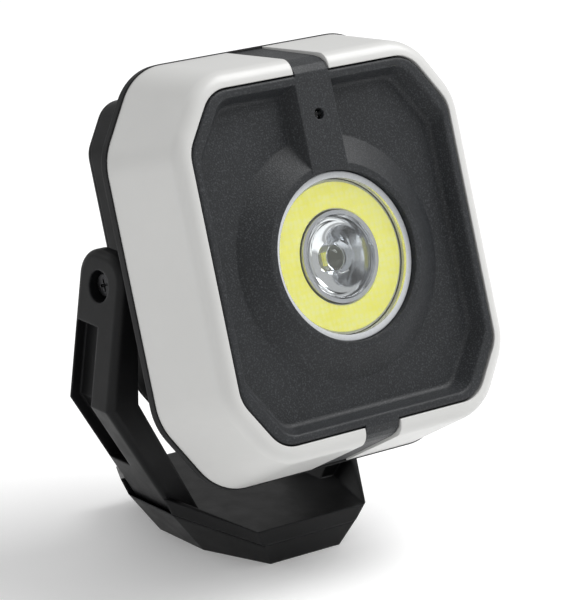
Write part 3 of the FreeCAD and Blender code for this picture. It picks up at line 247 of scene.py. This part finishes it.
useMaterial("threaded_inserts", mouldedFinish("turnedBrass", brassLook))
useMaterial("heat_sink", mouldedFinish("extrudedAluminium", sinkLook))
useMaterial("foot_magnets", mouldedFinish("nickelMagnet", magnetLook))
print("metals and rubber done")

# boards, cell and light sources

maskLook = finishLike(
    coverLook, colour=(0.78, 0.79, 0.79), roughness=0.3, mottleSize=5.0, edgeRadius=0.1, grain=0.15,
    fleckColour=(0.7, 0.7, 0.7))
greenLook = finishLike(
    maskLook, colour=(0.02, 0.13, 0.05), mottleShade=0.7, fleckColour=(0.03, 0.2, 0.08),
    edgeColour=(0.35, 0.30, 0.15))
cellLook = finishLike(
    maskLook, colour=(0.03, 0.10, 0.28), mottleShade=0.8, fleckColour=(0.05, 0.14, 0.36),
    edgeColour=(0.1, 0.2, 0.45), grain=0.4, grainHeight=0.01, edgeRadius=0.6)
# the gel's glow is painted light: the LEDs are not lit, the emission stands in for light on the gel
phosphorLook = {
    "gel": (0.86, 0.86, 0.30), "gelDeep": (0.84, 0.80, 0.14), "dieSpacing": 1.5,  # millimetres
    "roughness": 0.22, "paintedGlow": 0.46, "roughSpread": 0.12, "roughSize": 2.0, "driftSize": 9.0, "rippleSize": 1.2,
    "rippleHeight": 0.02, "scatter": 0.35, "coat": 0.4,
}
whiteMask = mouldedFinish("whiteBoard", maskLook)
useMaterial("led_board", whiteMask)
useMaterial("spot_board", whiteMask)
useMaterial("main_board", mouldedFinish("greenBoard", greenLook))
useMaterial("battery_pack", mouldedFinish("cellWrap", cellLook))


def phosphorGel(name, look):
    # yellow gel over rows of small dies, a little deeper in colour between them; the unlit gel also gets a
    # painted glow to look brighter
    material, tree, shader = newMaterial(name)
    place = addNode(tree, "TexCoord")
    cells = addNode(tree, "TexVoronoi", {
        "Vector": place.outputs["Object"], "Scale": 1 / (look["dieSpacing"] * mm),
        "Randomness": look["scatter"]})
    deep = spread(tree, cells.outputs["Distance"], 0.0, 0.6, 0.25, 0.65)
    drift = spread(tree, noiseAt(tree, look["driftSize"]), 0.0, 0.5)
    factor = addNode(tree, "Math", {0: deep, 1: drift}, operation="ADD", use_clamp=True).outputs[0]
    shade = blendColours(tree, factor, look["gel"], look["gelDeep"])
    tree.links.new(shade, shader.inputs["Base Color"])
    rough = spread(tree, noiseAt(tree, look["roughSize"]), look["roughness"],
                   look["roughness"] + look["roughSpread"])
    tree.links.new(rough, shader.inputs["Roughness"])
    bump = addNode(tree, "Bump", {
        "Height": noiseAt(tree, look["rippleSize"]), "Distance": look["rippleHeight"] * mm, "Strength": 1.0})
    tree.links.new(bump.outputs["Normal"], shader.inputs["Normal"])
    # painted glow: emission on an unlit part, standing in for light falling on the gel
    tree.links.new(shade, shader.inputs["Emission Color"])
    shader.inputs["Emission Strength"].default_value = look["paintedGlow"]
    shader.inputs["Coat Weight"].default_value = look["coat"]
    return material


gel = phosphorGel("phosphorGel", phosphorLook)
useMaterial("flood_led_ring", gel)
useMaterial("spot_led", gel)

# clear pieces

clearLook = {
    "tint": (0.97, 0.985, 0.99), "tintFade": 0.985, "index": 1.49,
    "roughness": 0.015, "smearSize": 6.0, "smear": 0.03,
}
cupLook = {
    "colour": (0.80, 0.81, 0.84), "fade": 0.93, "fadeSize": 3.0, "roughness": 0.14, "roughSize": 1.5,
    "roughSpread": 0.06, "facetSize": 2.2, "facetDepth": 0.05,
}


def clearFinish(name, look):
    # polished clear plastic with faint smears
    material, tree, shader = newMaterial(name)
    tintShade = blendColours(tree, noiseAt(tree, look["smearSize"]), look["tint"],
                             [c * look["tintFade"] for c in look["tint"]])
    tree.links.new(tintShade, shader.inputs["Base Color"])
    smear = spread(tree, noiseAt(tree, look["smearSize"], 5.0, 0.7), look["roughness"],
                   look["roughness"] + look["smear"])
    tree.links.new(smear, shader.inputs["Roughness"])
    shader.inputs["Transmission Weight"].default_value = 1.0
    shader.inputs["IOR"].default_value = look["index"]
    return material


def cupFinish(name, look):
    # vacuum-plated reflector with soft flutes
    material, tree, shader = newMaterial(name)
    shade = blendColours(tree, noiseAt(tree, look["fadeSize"]), look["colour"],
                         [c * look["fade"] for c in look["colour"]])
    tree.links.new(shade, shader.inputs["Base Color"])
    rough = spread(tree, noiseAt(tree, look["roughSize"]), look["roughness"],
                   look["roughness"] + look["roughSpread"])
    tree.links.new(rough, shader.inputs["Roughness"])
    place = addNode(tree, "TexCoord")
    facets = addNode(tree, "TexVoronoi", {
        "Vector": place.outputs["Object"], "Scale": 1 / (look["facetSize"] * mm)})
    facets.feature = "SMOOTH_F1"
    bump = addNode(tree, "Bump", {
        "Height": facets.outputs["Distance"], "Distance": look["facetDepth"] * mm, "Strength": 1.0})
    tree.links.new(bump.outputs["Normal"], shader.inputs["Normal"])
    shader.inputs["Metallic"].default_value = 1.0
    return material


clear = clearFinish("clearLens", clearLook)
smokedLook = finishLike(clearLook, tint=(0.25, 0.26, 0.27))
useMaterial("indicator_light", clearFinish("smokedPipe", smokedLook))
useMaterial("spot_optic", cupFinish("platedCup", cupLook))
print("light engine materials done")


turningLook = {
    "steps": 96, "sharpAngle": 28.0,  # degrees
}


def turned(name, profile, centre, body, material):
    # solid of revolution about the lens axis; profile is (radius, depth) in millimetres
    steps = turningLook["steps"]
    mesh = bpy.data.meshes.new(name)
    work = bmesh.new()
    rings = []
    for radius, depth in profile:
        if radius < 1e-6:
            rings.append([work.verts.new((0, depth * mm, 0))])
            continue
        ring = []
        for i in range(steps):
            a = 2 * math.pi * i / steps
            ring.append(work.verts.new((radius * mm * math.cos(a), depth * mm, radius * mm * math.sin(a))))
        rings.append(ring)
    for near, far in zip(rings, rings[1:]):
        for i in range(steps):
            corners = [near[i % len(near)], near[(i + 1) % len(near)],
                       far[(i + 1) % len(far)], far[i % len(far)]]
            unique = []
            for corner in corners:
                if corner not in unique:
                    unique.append(corner)
            if len(unique) > 2:
                work.faces.new(unique)
    bmesh.ops.recalc_face_normals(work, faces=work.faces)
    work.to_mesh(mesh)
    work.free()
    mesh.transform(headMatrix(centre))
    piece = bpy.data.objects.new(name, mesh)
    bpy.context.scene.collection.objects.link(piece)
    for face in mesh.polygons:
        face.use_smooth = True
    mesh.set_sharp_from_angle(angle=math.radians(turningLook["sharpAngle"]))
    mesh.materials.append(material)
    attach(piece, body)
    return piece


# clear collimator inside the reflector cup

collimatorLook = {
    "frontRadius": 10.6, "backRadius": 4.3, "depth": 6.4,
    "wellRadius": 3.6, "wellDepth": 2.6, "domeRise": 1.3, "domeShare": 0.92,
    "lip": 0.35, "lipDepth": 0.25, "landStart": 0.8, "edge": 0.2, "flangeDepth": 0.9,
    "flangeStep": 0.6, "bulge": 1.6, "steps": 8, "behindLens": 0.35,
}


def collimatorProfile(look):
    # domed well in the front face, a flat land around it, then a bulging flank to the back face
    steps, well, front = look["steps"], look["wellRadius"], look["frontRadius"]
    flange = look["flangeDepth"]
    points = []
    for i in range(steps + 1):
        reach = i / steps
        points.append((well * look["domeShare"] * reach,
                       look["wellDepth"] - look["domeRise"] * (1 - reach ** 2)))
    points += [(well, look["wellDepth"] - look["edge"]), (well + look["lip"], look["lipDepth"]),
               (well + look["landStart"], 0.0), (front - look["edge"], 0.0),
               (front, look["edge"]), (front, flange)]
    span = front - look["flangeStep"] - look["backRadius"]
    for i in range(1, steps + 1):
        along = i / steps
        points.append((look["backRadius"] + span * (1 - along ** look["bulge"]),
                       flange + (look["depth"] - flange) * along))
    points += [(0, look["depth"])]
    return points


lensCentre = boxCentre("lens")
lensHalf = 1.0  # half of the lens's thickness, in millimetres
collimatorFront = lensCentre + headBack * (lensHalf + collimatorLook["behindLens"]) * mm
turned("spot_collimator", collimatorProfile(collimatorLook), collimatorFront, "head", clear)
print("collimator done")

# lens window with its moulded rim

windowLook = {
    "radius": 20.2, "outerRadius": 22.0, "dome": 0.12, "edge": 0.45, "gap": 0.03,
    "domeSteps": 8, "edgeSteps": 6,
}
# the rim's colour is painted light: opaque pale grey in place of light caught in the clear rim
rimClearLook = {
    "colour": (0.66, 0.68, 0.70), "fade": 0.94, "fadeSize": 1.5, "index": 1.49,
    "roughness": 0.20, "roughSize": 0.8, "roughSpread": 0.15, "markSize": 0.5, "markHeight": 0.01,
}


def paintedLitRimFinish(name, look):
    # opaque pale grey with fine moulding marks; the grey is painted light, standing in for the lit edge of a
    # clear rim
    material, tree, shader = newMaterial(name)
    shade = blendColours(tree, noiseAt(tree, look["fadeSize"]), look["colour"],
                         [c * look["fade"] for c in look["colour"]])
    tree.links.new(shade, shader.inputs["Base Color"])
    rough = spread(tree, noiseAt(tree, look["roughSize"]), look["roughness"],
                   look["roughness"] + look["roughSpread"])
    tree.links.new(rough, shader.inputs["Roughness"])
    bump = addNode(tree, "Bump", {
        "Height": noiseAt(tree, look["markSize"]), "Distance": look["markHeight"] * mm, "Strength": 1.0})
    tree.links.new(bump.outputs["Normal"], shader.inputs["Normal"])
    shader.inputs["IOR"].default_value = look["index"]
    return material


def windowProfile(look):
    # slightly crowned front, flat back
    points = []
    for i in range(look["domeSteps"] + 1):
        reach = i / look["domeSteps"]
        points.append((look["radius"] * reach, -lensHalf + look["dome"] * reach ** 2))
    points += [(look["radius"], lensHalf), (0, lensHalf)]
    return points


def rimProfile(look):
    inner, outer, edge = look["radius"] + look["gap"], look["outerRadius"], look["edge"]
    points = [(inner, -lensHalf + look["dome"])]
    for i in range(look["edgeSteps"] + 1):
        turn = math.pi / 2 * i / look["edgeSteps"]
        points.append((outer - edge + edge * math.sin(turn), -lensHalf + edge - edge * math.cos(turn)))
    points += [(outer, lensHalf), (inner, lensHalf), (inner, -lensHalf + look["dome"])]
    return points


lensWindow = turned("lens_window", windowProfile(windowLook), lensCentre, "head", clear)
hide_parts("lens")
# the rim's pale grey is painted light on a clear part
paintedLitRim = paintedLitRimFinish("paintedLitRimGrey", rimClearLook)
turned("lens_rim", rimProfile(windowLook), lensCentre, "head", paintedLitRim)
print("lens done")

# floor, lights and camera

stageLook = {
    "floorHalf": 6.0, "floorColour": (0.95, 0.95, 0.95), "floorFade": 0.995, "floorMottle": 40.0,
    "floorRoughness": 0.9, "floorSpecular": 0.1, "floorGlow": 0.14, "skyStrength": 0.50,
    "aim": (0, -0.02, 0.08),
    "keyPower": 17.0, "keySize": 0.9, "keyPlace": (0.75, -0.35, 1.15),
    "fillPower": 1.8, "fillSize": 0.8, "fillPlace": (-1.3, -0.5, 0.55),
    "rimPower": 1.5, "rimSize": 0.7, "rimPlace": (-0.7, 0.9, 0.7),
}
cameraLook = {
    "place": (-0.56575, -0.74395, 0.35755), "azimuth": -37.95, "elevation": 17.45, "lens": 220.1,
}


def makeFloor(look):
    half = look["floorHalf"]
    mesh = bpy.data.meshes.new("studioFloor")
    corners = [(-half, -half, 0), (half, -half, 0), (half, half, 0), (-half, half, 0)]
    mesh.from_pydata(corners, [], [(0, 1, 2, 3)])
    floor = bpy.data.objects.new("studioFloor", mesh)
    bpy.context.scene.collection.objects.link(floor)
    material, tree, shader = newMaterial("paleFloor")
    shade = blendColours(tree, noiseAt(tree, look["floorMottle"]), look["floorColour"],
                         [c * look["floorFade"] for c in look["floorColour"]])
    tree.links.new(shade, shader.inputs["Base Color"])
    shader.inputs["Roughness"].default_value = look["floorRoughness"]
    shader.inputs["Emission Color"].default_value = (1, 1, 1, 1)
    shader.inputs["Emission Strength"].default_value = look["floorGlow"]
    shader.inputs["Specular IOR Level"].default_value = look["floorSpecular"]
    mesh.materials.append(material)


def makeLight(name, place, size, power, aim):
    data = bpy.data.lights.new(name, "AREA")
    data.shape = "SQUARE"
    data.size = size
    data.energy = power
    light = bpy.data.objects.new(name, data)
    bpy.context.scene.collection.objects.link(light)
    light.location = place
    light.rotation_mode = "QUATERNION"
    light.rotation_quaternion = (aim - Vector(place)).to_track_quat("-Z", "Y")


def makeCamera(look):
    a, e = math.radians(look["azimuth"]), math.radians(look["elevation"])
    back = Vector((math.sin(a) * math.cos(e), -math.cos(a) * math.cos(e), math.sin(e)))
    data = bpy.data.cameras.new("studioCamera")
    data.lens = look["lens"]
    data.sensor_width = 36.0
    data.clip_start, data.clip_end = 0.01, 50.0
    camera = bpy.data.objects.new("studioCamera", data)
    bpy.context.scene.collection.objects.link(camera)
    camera.location = look["place"]
    camera.rotation_mode = "QUATERNION"
    camera.rotation_quaternion = (-back).to_track_quat("-Z", "Y")
    bpy.context.scene.camera = camera


makeFloor(stageLook)
aim = Vector(stageLook["aim"])
for part in ("key", "fill", "rim"):
    makeLight(part + "Light", stageLook[part + "Place"], stageLook[part + "Size"],
              stageLook[part + "Power"], aim)
makeCamera(cameraLook)
world = bpy.data.worlds.new("studioSky")
bpy.context.scene.world = world
world.use_nodes = True
world.node_tree.nodes["Background"].inputs["Color"].default_value = (1, 1, 1, 1)
world.node_tree.nodes["Background"].inputs["Strength"].default_value = stageLook["skyStrength"]
bpy.context.scene.view_settings.view_transform = "Standard"
print("stage done")
